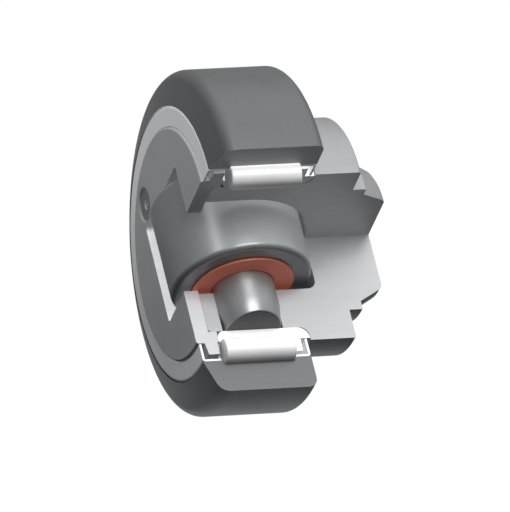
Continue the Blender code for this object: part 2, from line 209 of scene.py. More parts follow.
# Camera: its direction and distance from a point of the main axis, its roll, and how far to the right of
# that point and below it the lens is aimed
CAMERA_AZIMUTH_DEG = 57.0
CAMERA_ELEVATION_DEG = 53.94
CAMERA_ROLL_DEG = 24.8
CAMERA_DISTANCE = 3444
CAMERA_POINT_Y = -19.48
CAMERA_AIM_RIGHT = 16.22
CAMERA_AIM_DOWN = 2.36
PICTURE_WIDTH = 103.12
SENSOR_WIDTH = 36

CROSSWISE = Matrix.Rotation(math.radians(-90), 4, "Z")


def extent(node):
    """A CAD node's lowest and highest corners, in millimetres."""
    low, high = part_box(node)
    return low / MM, high / MM


def middle(node):
    low, high = extent(node)
    return (low + high) / 2


FACE = extent("front_disc")[0].y
AXIAL_CENTRE = middle("axial_roller")
AXIAL_MATRIX = Matrix.Translation(AXIAL_CENTRE * MM) @ CROSSWISE
NIPPLE_CENTRE = middle("grease_nipple_body")


def stations(node):
    """The stations of a CAD node's front and rear, and its outer radius, for a piece turned about +Y."""
    low, high = extent(node)
    return low.y - FACE, high.y - FACE, -low.x


# Meshes


def arc(centre_station, centre_radius, radius, start_deg, end_deg, steps=ROUND_STEPS):
    """Profile points of an arc; 0 degrees points along the axis, 90 away from it."""
    angles = [math.radians(start_deg + (end_deg - start_deg) * i / steps) for i in range(steps + 1)]
    return [(centre_station + radius * math.cos(a), centre_radius + radius * math.sin(a)) for a in angles]


def softened(profile, size=EDGE_BREAK, steps=3, straight_deg=155):
    """A closed profile with its sharp corners rounded off over that size."""
    points = [Vector(point) for point in profile]
    rounded = []
    for index, corner in enumerate(points):
        before = points[index - 1] - corner
        after = points[(index + 1) % len(points)] - corner
        if corner.y == 0 or before.angle(after) > math.radians(straight_deg):
            rounded.append(corner)
            continue
        start = corner + before.normalized() * min(size, 0.4 * before.length)
        end = corner + after.normalized() * min(size, 0.4 * after.length)
        for step in range(steps + 1):
            t = step / steps
            rounded.append(start * (1 - t) ** 2 + corner * 2 * t * (1 - t) + end * t**2)
    return rounded


def mesh_from(name, build):
    bm = bmesh.new()
    build(bm)
    bmesh.ops.recalc_face_normals(bm, faces=bm.faces)
    mesh = bpy.data.meshes.new(name)
    bm.to_mesh(mesh)
    bm.free()
    return mesh


def turned(name, profile, steps=TURN_STEPS, start_deg=0.0, sweep_deg=360.0, offset=0.0):
    """A closed profile of (station, radius) points turned about +Y, in metres."""
    whole = sweep_deg >= 360
    count = round(steps * sweep_deg / 360)

    def build(bm):
        shared = {}
        rows = []
        for step in range(count if whole else count + 1):
            angle = math.radians(start_deg + sweep_deg * step / count)
            row = []
            for index, (station, radius) in enumerate(profile):
                place = Vector((radius * math.sin(angle), station + offset, radius * math.cos(angle))) * MM
                if radius == 0:
                    shared[index] = shared.get(index) or bm.verts.new(place)
                    row.append(shared[index])
                else:
                    row.append(bm.verts.new(place))
            rows.append(row)
        following_rows = rows[1:] + rows[:1] if whole else rows[1:]
        for row, following in zip(rows, following_rows):
            for index in range(len(profile)):
                after = (index + 1) % len(profile)
                corners = dict.fromkeys([row[index], row[after], following[after], following[index]])
                if len(corners) > 2:
                    bm.faces.new(corners)
        if not whole:
            bm.faces.new(rows[0])
            bm.faces.new(rows[-1])

    return mesh_from(name, build)


def cut_turned(name, profile):
    """A piece turned about the main axis that the open sector cuts through."""
    return turned(name, profile, TURN_STEPS, OPEN_SECTOR_DEG, 360 - OPEN_SECTOR_DEG, FACE)


def rod(name, start, end, radius, steps=SMALL_TURN_STEPS):
    return turned(name, [(start, 0), (start, radius), (end, radius), (end, 0)], steps)


def finished(name, mesh, tools=()):
    """The mesh with the tools cut out of it, shaded smooth between its edges. The attribute "local" keeps
    each point's place in the piece's own frame."""
    made = bpy.data.objects.new(name, mesh)
    bpy.context.scene.collection.objects.link(made)
    cutters = []
    for tool in tools:
        cutter = bpy.data.objects.new("tool", tool)
        bpy.context.scene.collection.objects.link(cutter)
        cutters.append(cutter)
        boolean = made.modifiers.new("cut", "BOOLEAN")
        boolean.operation = "DIFFERENCE"
        boolean.solver = "EXACT"
        boolean.object = cutter
    bpy.context.view_layer.update()
    graph = bpy.context.evaluated_depsgraph_get()
    shaped = bpy.data.meshes.new_from_object(made.evaluated_get(graph), depsgraph=graph)
    shaped.name = name
    shaped.shade_smooth()
    shaped.set_sharp_from_angle(angle=math.radians(SHADED_EDGE_DEG))
    local = shaped.attributes.new("local", "FLOAT_VECTOR", "POINT")
    for index, vertex in enumerate(shaped.vertices):
        local.data[index].vector = vertex.co
    for used in [made, *cutters]:
        bpy.data.objects.remove(used, do_unlink=True)
    return shaped


def show(node, mesh, finishes, matrix=None):
    """Puts a fine mesh in a CAD node's place; its faces already hold the number of their finish."""
    piece = bpy.data.objects.new("fine_" + node, mesh)
    bpy.context.scene.collection.objects.link(piece)
    if matrix:
        piece.matrix_world = matrix
    if not mesh.materials:
        for finish in finishes:
            mesh.materials.append(finish)
    weighted = piece.modifiers.new("weighted_normals", "WEIGHTED_NORMAL")
    weighted.keep_sharp = True
    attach(piece, frame["nodes"][node]["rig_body"])
    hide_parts(node)
    return piece


def paint(mesh, index, chosen):
    """Gives the chosen faces another finish."""
    for face in mesh.polygons:
        if chosen(face):
            face.material_index = index


def in_open_cut(face):
    """Whether a face lies on one of the open sector's two planes."""
    flat = 0.01 * MM
    on_right = abs(face.center.z) < flat and face.normal.z > 0.99 and face.center.x > 0
    on_top = abs(face.center.x) < flat and face.normal.x > 0.99 and face.center.z > 0
    return on_right or on_top


def in_window(face):
    """Whether a face is part of the wall of the front disc's window."""
    margin = 0.1
    inside_x = abs(face.center.x) < (WINDOW_HALF_WIDTH + margin) * MM
    inside_z = abs(face.center.z) < (WINDOW_HALF_HEIGHT + margin) * MM
    return inside_x and inside_z and abs(face.normal.y) < 0.5 and not in_open_cut(face)


# Materials


class Graph:
    """A material's node tree with short calls to fill it."""

    def __init__(self, name):
        self.material = bpy.data.materials.new(name)
        self.material.use_nodes = True
        self.tree = self.material.node_tree
        self.shader = self.tree.nodes["Principled BSDF"]

    def add(self, kind, inputs=None, output=0, **settings):
        """A new node's output; an input is a value or another node's output."""
        node = self.tree.nodes.new("ShaderNode" + kind)
        for key, value in settings.items():
            setattr(node, key, value)
        for key, value in (inputs or {}).items():
            self.set(node.inputs[key], value)
        return node.outputs[output]

    def set(self, socket, value):
        if isinstance(value, bpy.types.NodeSocket):
            self.tree.links.new(value, socket)
        else:
            socket.default_value = value

    def math(self, operation, first, second=0.0):
        return self.add("Math", {0: first, 1: second}, operation=operation)

    def scaled(self, value, low, high, low_from=0.0, high_from=1.0):
        ends = {"From Min": low_from, "From Max": high_from, "To Min": low, "To Max": high}
        return self.add("MapRange", {"Value": value, **ends})

    def local(self):
        return self.add("Attribute", output=1, attribute_name="local")

    def surface(self, **inputs):
        for key, value in inputs.items():
            self.set(self.shader.inputs[key.replace("_", " ")], value)


def turning_marks(graph, lines_per_mm, wander):
    """Fine rings round the piece's own axis: a noise that runs fast across them and slowly along them."""
    local = graph.local()
    x, y, z = (graph.add("SeparateXYZ", {0: local}, output=i) for i in range(3))
    flat = graph.add("CombineXYZ", {0: x, 2: z})
    radius = graph.add("VectorMath", {0: flat}, output=1, operation="LENGTH")
    round_unit = graph.add("VectorMath", {0: flat}, operation="NORMALIZE")
    along = graph.math("MULTIPLY", y, lines_per_mm / MM)
    across = graph.math("MULTIPLY", radius, lines_per_mm / MM)
    sine = graph.math("MULTIPLY", graph.add("SeparateXYZ", {0: round_unit}, output=0), wander)
    cosine = graph.math("MULTIPLY", graph.add("SeparateXYZ", {0: round_unit}, output=2), wander)
    place = graph.add("CombineXYZ", {0: along, 1: across, 2: sine})
    inputs = {"Vector": place, "W": cosine, "Scale": 1.0, "Detail": 3.0, "Roughness": 0.6}
    return graph.add("TexNoise", inputs, noise_dimensions="4D")


def straight_marks(graph, lines_per_mm):
    """Fine lines of a surface grinder along the main axis, on the flat faces of the open cut."""
    stretch = (lines_per_mm / MM, 0.02 * lines_per_mm / MM, lines_per_mm / MM)
    place = graph.add("VectorMath", {0: graph.local(), 1: stretch}, operation="MULTIPLY")
    return graph.add("TexNoise", {"Vector": place, "Scale": 1.0, "Detail": 3.0, "Roughness": 0.6})


def clouds(graph, size_mm, detail=3.0):
    """Soft patches, for stains and uneven wear."""
    return graph.add("TexNoise", {"Vector": graph.local(), "Scale": 1 / (size_mm * MM), "Detail": detail})


def edge_mask(graph, width_mm):
    """1 on edges and corners, falling to 0 within the width."""
    rounded = graph.add("Bevel", {"Radius": width_mm * MM}, samples=4)
    true = graph.add("NewGeometry", output=1)
    alike = graph.add("VectorMath", {0: rounded, 1: true}, output=1, operation="DOT_PRODUCT")
    return graph.scaled(alike, 1.0, 0.0, 0.75, 0.995)


def steel(name, colour, roughness, marks, marks_depth=0.004, tint_spread=0.07, wear=0.35, metallic=0.55):
    """Machined metal: tool marks in height and tone, stains in tone and gloss, and brighter worn edges."""
    graph = Graph(name)
    lines = marks(graph)
    stains = clouds(graph, STAIN_SIZE)
    specks = clouds(graph, SPECK_SIZE)
    dark = (*(c * (1 - tint_spread) for c in colour), 1)
    light = (*(min(1, c * (1 + tint_spread)) for c in colour), 1)
    stained = graph.scaled(stains, 0.0, 0.6, 0.3, 0.7)
    lined = graph.scaled(lines, 0.0, 0.4, 0.3, 0.7)
    tone = graph.math("ADD", stained, lined)
    plain = graph.add("MixRGB", {"Fac": tone, "Color1": dark, "Color2": light})
    worn = (*(min(1, c * 1.35 + 0.06) for c in colour), 1)
    patchy = graph.scaled(specks, 0.4, 1.0, 0.35, 0.65)
    edge = graph.math("MULTIPLY", edge_mask(graph, WORN_EDGE_WIDTH), patchy)
    edge = graph.math("MULTIPLY", edge, wear)
    colour_out = graph.add("MixRGB", {"Fac": edge, "Color1": plain, "Color2": worn})
    gloss = graph.math("ADD", graph.scaled(stains, -0.04, 0.05, 0.3, 0.7), roughness)
    bump = graph.add("Bump", {"Strength": 1.0, "Distance": marks_depth * MM, "Height": lines})
    graph.surface(Base_Color=colour_out, Metallic=metallic, Roughness=gloss, Normal=bump)
    return graph.material


def ring_marks(lines_per_mm, wander=6.0):
    return lambda graph: turning_marks(graph, lines_per_mm, wander)


def cut_marks(lines_per_mm):
    return lambda graph: straight_marks(graph, lines_per_mm)


def make_materials():
    coarse = {"marks": ring_marks(1.4), "marks_depth": 0.006}
    cut = {"marks": cut_marks(1.5)}
    bright = {"marks_depth": 0.001, "tint_spread": 0.02, "wear": 0.1}
    bright_cut = {"metallic": 0.4, **bright}
    seal = {"marks_depth": 0.003, "tint_spread": 0.03, "wear": 0.1}
    fine = {"marks": ring_marks(2), "marks_depth": 0.003}
    nipple = {"marks": ring_marks(2), "marks_depth": 0.002}
    bronze = {"marks": ring_marks(1.5), "wear": 0.3, "metallic": 0.3}
    face = {"marks_depth": 0.003, "tint_spread": 0.1, **bronze}
    # Settings for the washers' rim and bore, which carry a painted highlight
    rim = {"marks_depth": 0.002, "tint_spread": 0.06, **bronze}
    return {
        "ring": steel("ring_steel", (0.175, 0.187, 0.195), 0.46, ring_marks(1.6), 0.006, metallic=0.4),
        "ring_cut": steel("ring_cut_steel", (0.215, 0.23, 0.24), 0.5, cut_marks(1.6)),
        "stud": steel("stud_steel", (0.45, 0.465, 0.48), 0.46, **coarse),
        "stud_cut": steel("stud_cut_steel", (0.64, 0.65, 0.665), 0.5, **cut),
        "disc": steel("disc_steel", (0.34, 0.349, 0.36), 0.5, metallic=0.1, **coarse),
        # The window's wall is painted much lighter than the disc: painted light where the axial roller and
        # the disc shade it
        "window": steel("window_wall_painted_light", (0.9, 0.91, 0.92), 0.5, metallic=0.0, **cut),
        "bright": steel("bright_steel", (0.97, 0.97, 0.975), 0.35, ring_marks(2), metallic=0.2, **bright),
        "bright_cut": steel("bright_cut_steel", (0.98, 0.98, 0.985), 0.5, cut_marks(2), **bright_cut),
        "seal": steel("seal_sheet", (0.95, 0.96, 0.97), 0.45, ring_marks(1), **seal),
        "axial": steel("axial_steel", (0.36, 0.375, 0.385), 0.34, ring_marks(1.8), 0.003, metallic=0.4),
        "pin": steel("pin_steel", (0.44, 0.455, 0.46), 0.35, **fine),
        # The pin's end faces are painted far darker than the pin: painted shade of faces turned away from
        # the light
        "pin_tip_painted_shade": steel("pin_tip_painted_shade_steel", (0.075, 0.079, 0.082), 0.5, **fine),
        "bronze": steel("washer_bronze", (0.78, 0.23, 0.16), 0.5, **face),
        "bronze_painted_highlight": steel("washer_rim_painted_highlight", (1.0, 0.33, 0.2), 0.4, **rim),
        "nipple": steel("nipple_steel", (0.3, 0.31, 0.32), 0.38, **nipple),
        # The nipple's rim is painted lighter than its body: a painted highlight, and painted light over the
        # shade in its dish
        "nipple_painted_highlight": steel("nipple_painted_highlight_steel", (0.58, 0.59, 0.6), 0.4, metallic=0.1, **nipple),
    }


# Pieces


def outer_ring_profile():
    front, rear, radius = stations("outer_ring")
    roller_front, roller_rear, _ = stations("roller_01")
    groove = ROLLER_PITCH_RADIUS + ROLLER_RADIUS + RUNNING_GAP
    tangent = 180 - FRONT_CONE_DEG
    cone_end_radius = radius - FRONT_ROUND * (1 - math.sin(math.radians(tangent)))
    cone_end = front + (cone_end_radius - LIP_RADIUS) * math.tan(math.radians(FRONT_CONE_DEG))
    front_centre = cone_end - FRONT_ROUND * math.cos(math.radians(tangent))
    profile = [(front, LIP_RADIUS)]
    profile += arc(front_centre, radius - FRONT_ROUND, FRONT_ROUND, tangent, 90)
    profile += arc(rear - REAR_ROUND, radius - REAR_ROUND, REAR_ROUND, 90, 0)
    profile += [(rear, LIP_RADIUS), (roller_rear + SEAT_GAP, LIP_RADIUS), (roller_rear + SEAT_GAP, groove)]
    profile += [(roller_front - SEAT_GAP, groove), (roller_front - SEAT_GAP, LIP_RADIUS)]
    return profile


def make_outer_ring(finish):
    mesh = finished("outer_ring", cut_turned("outer_ring", softened(outer_ring_profile())))
    paint(mesh, 1, in_open_cut)
    return show("outer_ring", mesh, [finish["ring"], finish["ring_cut"]])


def make_seals(finish):
    """Each seal: a web close over the inner land, bent into a skirt inside the ring's lip."""
    seals = []
    for node, inwards in (("front_seal", 1), ("rear_seal", -1)):
        front, rear, outside = stations(node)
        face, skirt_end = (front, rear) if inwards == 1 else (rear, front)
        inside = outside - SEAL_SHEET
        web_back = face + inwards * SEAL_SHEET
        bend = [(90 * i / ROUND_STEPS) for i in range(ROUND_STEPS + 1)]
        centre = (face + inwards * SEAL_BEND, outside - SEAL_BEND)
        profile = [(face, SEAL_BORE_RADIUS)]
        for angle in map(math.radians, bend):
            reach = inwards * SEAL_BEND * math.cos(angle)
            profile.append((centre[0] - reach, centre[1] + SEAL_BEND * math.sin(angle)))
        profile += [(skirt_end, outside), (skirt_end, inside)]
        profile += [(web_back, inside), (web_back, SEAL_BORE_RADIUS)]
        mesh = finished(node, cut_turned(node, softened(profile, SEAL_EDGE_BREAK)))
        paint(mesh, 1, in_open_cut)
        seals.append(show(node, mesh, [finish["seal"], finish["bright_cut"]]))
    return seals


def make_inner_ring(finish, drilling):
    front, rear, flange = stations("inner_ring")
    raceway = ROLLER_PITCH_RADIUS - ROLLER_RADIUS - RUNNING_GAP
    profile = arc(front + INNER_FRONT_ROUND, BORE_RADIUS + INNER_FRONT_ROUND, INNER_FRONT_ROUND, 270, 180)
    profile += [(front, raceway), (GUIDE_FLANGE[0], raceway), (GUIDE_FLANGE[0], flange)]
    profile += [(GUIDE_FLANGE[1], flange), (GUIDE_FLANGE[1], SEAL_LAND_RADIUS), (rear, SEAL_LAND_RADIUS)]
    profile += arc(rear - INNER_REAR_ROUND, BORE_RADIUS + INNER_REAR_ROUND, INNER_REAR_ROUND, 0, -90)
    mesh = finished("inner_ring", cut_turned("inner_ring", softened(profile)), [drilling])
    paint(mesh, 1, in_open_cut)
    return show("inner_ring", mesh, [finish["bright"], finish["bright_cut"]])


def make_rollers(finish):
    """The radial rollers: cylinders with rounded corners and a small dimple in each end."""
    front, rear, _ = stations("roller_01")
    half = (rear - front) / 2
    profile = [(half - ROLLER_DIMPLE_DEPTH, 0), (half, ROLLER_DIMPLE_RADIUS)]
    profile += arc(half - ROLLER_ROUND, ROLLER_RADIUS - ROLLER_ROUND, ROLLER_ROUND, 0, 90, steps=5)
    profile += [(-station, radius) for station, radius in reversed(profile)]
    mesh = finished("radial_roller", turned("radial_roller", softened(profile), SMALL_TURN_STEPS))
    nodes = [node for node in sorted(frame["nodes"]) if node.startswith("roller_")]
    return [show(node, mesh, [finish["bright"]], Matrix.Translation(middle(node) * MM)) for node in nodes]


def rounded_outline(half_width, half_height, corner):
    """A rectangle with round corners, as (x, z) points."""
    outline = []
    for turn, (side, up) in enumerate(((1, 1), (-1, 1), (-1, -1), (1, -1))):
        centre = (side * (half_width - corner), up * (half_height - corner))
        outline += arc(*centre, corner, 90 * turn, 90 * turn + 90, steps=6)
    return outline


def window_tool():
    outline = rounded_outline(WINDOW_HALF_WIDTH, WINDOW_HALF_HEIGHT, WINDOW_CORNER)

    def build(bm):
        ends = [FACE - OVERCUT, FACE + 2 * DISC_THICKNESS]
        rows = [[bm.verts.new(Vector((x, y, z)) * MM) for x, z in outline] for y in ends]
        for i in range(len(outline)):
            after = (i + 1) % len(outline)
            bm.faces.new((rows[0][i], rows[0][after], rows[1][after], rows[1][i]))
        bm.faces.new(rows[0])
        bm.faces.new(rows[1])

    return mesh_from("window_tool", build)


def make_front_disc(finish, head_seat):
    _, skirt_rear, flange = stations("front_disc")
    profile = [(0, 0), (0, SEAL_LAND_RADIUS - DISC_EDGE_CHAMFER), (DISC_EDGE_CHAMFER, SEAL_LAND_RADIUS)]
    profile += [(DISC_LAND_REAR, SEAL_LAND_RADIUS), (DISC_FLANGE_FRONT, flange)]
    profile += [(DISC_FLANGE_REAR, flange), (DISC_FLANGE_REAR, DISC_SKIRT_RADIUS)]
    profile += [(skirt_rear, DISC_SKIRT_RADIUS)]
    profile += [(skirt_rear, BORE_RADIUS), (DISC_THICKNESS, BORE_RADIUS), (DISC_THICKNESS, 0)]
    mesh = cut_turned("front_disc", softened(profile))
    mesh = finished("front_disc", mesh, [window_tool(), head_seat])
    paint(mesh, 1, in_open_cut)
    # The window's wall takes the lighter finish: painted light in place of the light that the roller shades
    # off it
    paint(mesh, 2, in_window)
    return show("front_disc", mesh, [finish["disc"], finish["stud_cut"], finish["window"]])


def pocket_tool():
    """Half a round-cornered drum behind the cross pin, carried straight out at the front."""
    corner = arc(POCKET_HALF - POCKET_ROUND, POCKET_RADIUS - POCKET_ROUND, POCKET_ROUND, 0, 90)
    half = [(POCKET_HALF, 0), *corner]
    outline = [(-x, r) for x, r in half] + list(reversed(half))
    steps = TURN_STEPS // 2

    def build(bm):
        front = FACE - 5 * OVERCUT
        rows = [[bm.verts.new(Vector((x, front, r)) * MM) for x, r in outline]]
        for step in range(steps + 1):
            angle = math.pi * step / steps
            row = []
            for i, (x, r) in enumerate(outline):
                if r == 0 and step > 0:
                    row.append(rows[1][i])
                    continue
                behind = AXIAL_CENTRE.y + r * math.sin(angle)
                row.append(bm.verts.new(Vector((x, behind, r * math.cos(angle))) * MM))
            rows.append(row)
        last = []
        for i, (x, r) in enumerate(outline):
            last.append(bm.verts.new(Vector((x, front, -r)) * MM) if r else rows[0][i])
        rows.append(last)
        for row, following in zip(rows, rows[1:]):
            for i in range(len(outline) - 1):
                corners = dict.fromkeys([row[i], row[i + 1], following[i + 1], following[i]])
                if len(corners) > 2:
                    bm.faces.new(corners)
        bm.faces.new(rows[0] + last[-2:0:-1])

    return mesh_from("pocket_tool", build)


def make_stud(finish, drillings):
    _, end, collar = stations("stud")
    seat = BORE_RADIUS - RUNNING_GAP
    front = DISC_THICKNESS + SEAT_GAP
    profile = [(front, 0), (front, seat - SEAT_CHAMFER), (front + SEAT_CHAMFER, seat)]
    profile += arc(COLLAR_FRONT - SEAT_FILLET, seat + SEAT_FILLET, SEAT_FILLET, -90, 0)
    profile += [(COLLAR_FRONT, collar), (COLLAR_REAR - COLLAR_CHAMFER, collar)]
    profile += [(COLLAR_REAR, collar - COLLAR_CHAMFER), (COLLAR_REAR, SPIGOT_RADIUS)]
    profile += [(SPIGOT_STEP, SPIGOT_RADIUS), (SPIGOT_STEP, WELD_CONE_RADIUS)]
    profile += [(WELD_CONE_REAR, WELD_CONE_TIP_RADIUS), (end, STUD_END_RADIUS), (end, 0)]
    reach = extent("outer_ring")[1].x
    axle_bore = rod("axle_bore_tool", -reach, reach, PIN_RADIUS + RUNNING_GAP)
    axle_bore.transform(AXIAL_MATRIX)
    mesh = finished("stud", cut_turned("stud", softened(profile)), [pocket_tool(), axle_bore, *drillings])
    paint(mesh, 1, in_open_cut)
    return show("stud", mesh, [finish["stud"], finish["stud_cut"]])


def grease_tools():
    """Cutters for the nipple's seats and for the drillings from there out to the raceway."""
    roller_front, roller_rear, _ = stations("roller_01")
    outlet = (roller_front + roller_rear) / 2
    across = Vector((NIPPLE_CENTRE.x, 0, NIPPLE_CENTRE.z))
    to_nipple = Matrix.Translation(Vector((across.x, FACE, across.z)) * MM)
    head = rod("nipple_head_tool", -OVERCUT, DISC_THICKNESS + OVERCUT, NIPPLE_HEAD_RADIUS + SEAT_GAP)
    stem_front = DISC_THICKNESS - OVERCUT
    stem = rod("nipple_stem_tool", stem_front, NIPPLE_STEM_REAR + SEAT_GAP, NIPPLE_STEM_RADIUS + SEAT_GAP)
    passage = rod("passage_tool", NIPPLE_STEM_REAR - OVERCUT, outlet, GREASE_HOLE_RADIUS)
    for tool in (head, stem, passage):
        tool.transform(to_nipple)
    cross = rod("cross_hole_tool", across.length - GREASE_HOLE_RADIUS, 2 * BORE_RADIUS, GREASE_HOLE_RADIUS)
    outwards = across.to_track_quat("Y", "Z").to_matrix().to_4x4()
    cross.transform(Matrix.Translation((0, (FACE + outlet) * MM, 0)) @ outwards)
    return head, stem, passage, cross


def make_axial_roller(finish):
    high = extent("axial_roller")[1]
    half = high.x
    radius = high.z
    bore = PIN_RADIUS + 2 * (NEEDLE_RADIUS + RUNNING_GAP)
    profile = [(half, bore)]
    profile += arc(half - AXIAL_ROLLER_ROUND, radius - AXIAL_ROLLER_ROUND, AXIAL_ROLLER_ROUND, 0, 90)
    profile += [(-station, r) for station, r in reversed(profile)]
    mesh = finished("axial_roller", turned("axial_roller", softened(profile)))
    return show("axial_roller", mesh, [finish["axial"]], AXIAL_MATRIX)


def make_axle_pin(finish):
    """The cross pin, tapered towards its ends, which are ground to the seat that they lie flush with."""
    seat = extent("axle_pin")[1].x
    end = math.sqrt(seat**2 - PIN_END_RADIUS**2)
    shoulder = end - PIN_TAPER
    rings = 8
    cap = [(seat, PIN_END_RADIUS * i / rings) for i in range(rings)]
    rim = [(seat, PIN_END_RADIUS - EDGE_BREAK), (seat - EDGE_BREAK, PIN_END_RADIUS)]
    profile = cap + rim + [(shoulder, PIN_RADIUS)]
    profile += [(-station, radius) for station, radius in reversed(profile)]
    mesh = turned("axle_pin", softened(profile, PIN_EDGE_BREAK), 2 * SMALL_TURN_STEPS)
    for vertex in mesh.vertices:
        if abs(vertex.co.y) > (shoulder + PIN_TAPER / 2) * MM:
            drop = seat * MM - math.sqrt((seat * MM) ** 2 - vertex.co.z**2)
            vertex.co.y -= math.copysign(drop, vertex.co.y)
    mesh = finished("axle_pin", mesh)
    # The end faces take the dark finish: painted shade
    paint(mesh, 1, lambda face: abs(face.normal.y) > 0.9)
    return show("axle_pin", mesh, [finish["pin"], finish["pin_tip_painted_shade"]], AXIAL_MATRIX)


def make_thrust_washers(finish):
    """The flat reddish washers at the axial roller's ends, with a painted highlight on the rim and bore: a
    lighter, redder finish there.
    """
    washers = []
    for node in ("thrust_washer_right", "thrust_washer_left"):
        low, high = extent(node)
        inside = PIN_RADIUS + SEAT_GAP + RUNNING_GAP
        profile = [(low.x, inside), (low.x, high.z), (high.x, high.z), (high.x, inside)]
        mesh = finished(node, turned(node, softened(profile), 2 * SMALL_TURN_STEPS))
        # The rim and bore faces take the lighter bronze: a painted highlight
        paint(mesh, 1, lambda face: abs(face.normal.y) < 0.8)
        washers.append(show(node, mesh, [finish["bronze"], finish["bronze_painted_highlight"]], AXIAL_MATRIX))
    return washers


def make_needles(finish):
    half = extent("needle_01")[1].x
    profile = [(half, 0)]
    profile += arc(half - NEEDLE_ROUND, NEEDLE_RADIUS - NEEDLE_ROUND, NEEDLE_ROUND, 0, 90, steps=4)
    profile += [(-station, radius) for station, radius in reversed(profile)]
    mesh = finished("needle", turned("needle", profile, NEEDLE_TURN_STEPS))
    for node in sorted(frame["nodes"]):
        if node.startswith("needle_"):
            show(node, mesh, [finish["bright"]], Matrix.Translation(middle(node) * MM) @ CROSSWISE)


def make_nipple(finish):
    """The flush nipple: a rim round a shallow dish, with the ball in its mouth and the spring behind."""
    ball = middle("nipple_ball")
    ball_low, ball_high = extent("nipple_ball")
    ball_radius = (ball_high.y - ball_low.y) / 2
    ball_station = ball.y - FACE
    axis = Matrix.Translation(Vector((NIPPLE_CENTRE.x, FACE, NIPPLE_CENTRE.z)) * MM)
    dish = NIPPLE_HEAD_RADIUS - NIPPLE_RIM
    profile = [(NIPPLE_DISH_DEPTH, NIPPLE_MOUTH_RADIUS + NIPPLE_MOUTH_SLOPE)]
    profile += [(NIPPLE_DISH_DEPTH, dish - NIPPLE_DISH_SLOPE), (0, dish)]
    profile += [(0, NIPPLE_HEAD_RADIUS), (NIPPLE_HEAD_REAR, NIPPLE_HEAD_RADIUS)]
    profile += [(NIPPLE_HEAD_REAR, NIPPLE_STEM_RADIUS), (NIPPLE_STEM_REAR, NIPPLE_STEM_RADIUS)]
    profile += [(NIPPLE_STEM_REAR, NIPPLE_OUTLET_RADIUS), (SPRING_REAR + SEAT_GAP, NIPPLE_OUTLET_RADIUS)]
    profile += [(SPRING_REAR + SEAT_GAP, NIPPLE_BORE_RADIUS), (ball_station, NIPPLE_BORE_RADIUS)]
    profile += [(ball_station - ball_radius, NIPPLE_MOUTH_RADIUS)]
    body = turned("grease_nipple_body", softened(profile, NIPPLE_EDGE_BREAK), SMALL_TURN_STEPS)
    body = finished("grease_nipple_body", body)
    # The rim and the slope into the dish take the lighter finish: painted highlight, painting out the
    # dish's shade
    paint(body, 1, lambda face: on_nipple_front(face) and on_nipple_rim(face))
    # The slope into the mouth takes the near-white finish: a painted highlight round the ball
    paint(body, 2, lambda face: on_nipple_front(face) and in_nipple_mouth(face))
    show("grease_nipple_body", body, [finish["nipple"], finish["nipple_painted_highlight"], finish["bright"]], axis)

    def build_ball(bm):
        bmesh.ops.create_icosphere(bm, subdivisions=4, radius=ball_radius * MM)

    ball_mesh = finished("nipple_ball", mesh_from("nipple_ball", build_ball))
    show("nipple_ball", ball_mesh, [finish["bright"]], Matrix.Translation(ball * MM))
    spring_front = ball_station + ball_radius + SEAT_GAP + SPRING_WIRE_RADIUS
    spring = coil(spring_front, SPRING_REAR - SPRING_WIRE_RADIUS)
    spring = show("nipple_spring", finished("nipple_spring", spring), [finish["nipple"]], axis)
    squeeze_with_ball(spring)


def on_nipple_front(face):
    return face.center.y < 2 * NIPPLE_DISH_DEPTH * MM


def on_nipple_rim(face):
    """Whether a face of the nipple's front is on its rim or on the slope from there into the dish."""
    margin = 0.05
    foot = NIPPLE_HEAD_RADIUS - NIPPLE_RIM - NIPPLE_DISH_SLOPE
    return face.center.xz.length > (foot - margin) * MM


def in_nipple_mouth(face):
    """Whether a face of the nipple's front is on the slope into its mouth."""
    flat = -0.95
    return face.center.xz.length < (NIPPLE_MOUTH_RADIUS + NIPPLE_MOUTH_SLOPE) * MM and face.normal.y > flat


def squeeze_with_ball(spring):
    """Gives the spring a mesh of its own."""
    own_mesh(spring)


def coil(front, rear):
    """The nipple's spring: a round wire wound about +Y between two stations."""
    steps_per_turn = 32
    sides = 12
    steps = SPRING_TURNS * steps_per_turn

    def build(bm):
        rows = []
        for step in range(steps + 1):
            angle = 2 * math.pi * step / steps_per_turn
            outward = Vector((math.cos(angle), 0, math.sin(angle)))
            centre = outward * SPRING_RADIUS + Vector((0, front + (rear - front) * step / steps, 0))
            row = []
            for side in range(sides):
                around = 2 * math.pi * side / sides
                offset = outward * math.cos(around) + Vector((0, math.sin(around), 0))
                row.append(bm.verts.new((centre + offset * SPRING_WIRE_RADIUS) * MM))
            rows.append(row)
        for row, following in zip(rows, rows[1:]):
            for side in range(sides):
                after = (side + 1) % sides
                bm.faces.new((row[side], row[after], following[after], following[side]))
        bm.faces.new(rows[0])
        bm.faces.new(rows[-1])

    return mesh_from("nipple_spring", build)


# Studio


def make_floor():
    """A floor that the camera sees as plain white, without shadows. What it throws on the steel, and what
    the steel mirrors of it, is darker: pale towards -X and dark towards +X, as if cards lay there."""
    graph = Graph("pale_floor")
    seen = graph.add("LightPath")
    mirrored = graph.add("LightPath", output=3)
    side = graph.add("SeparateXYZ", {0: graph.add("NewGeometry")})
    change = [place * MM for place in FLOOR_CHANGE]
    cast = graph.scaled(side, *FLOOR_CAST, *change)
    card = graph.scaled(side, *FLOOR_CARD, *change)
    unseen = graph.add("MixRGB", {"Fac": mirrored, "Color1": cast, "Color2": card})
    shade = graph.add("MixRGB", {"Fac": seen, "Color1": unseen, "Color2": (0, 0, 0, 1)})
    graph.surface(Base_Color=shade, Roughness=0.9, Emission_Color=(1, 1, 1, 1), Emission_Strength=seen)

    def build(bm):
        bmesh.ops.create_grid(bm, x_segments=1, y_segments=1, size=FLOOR_HALF * MM)

    floor = bpy.data.objects.new("floor", mesh_from("floor", build))
    floor.data.materials.append(graph.material)
    floor.location = (0, 0, cad_box[0].z)
    bpy.context.scene.collection.objects.link(floor)


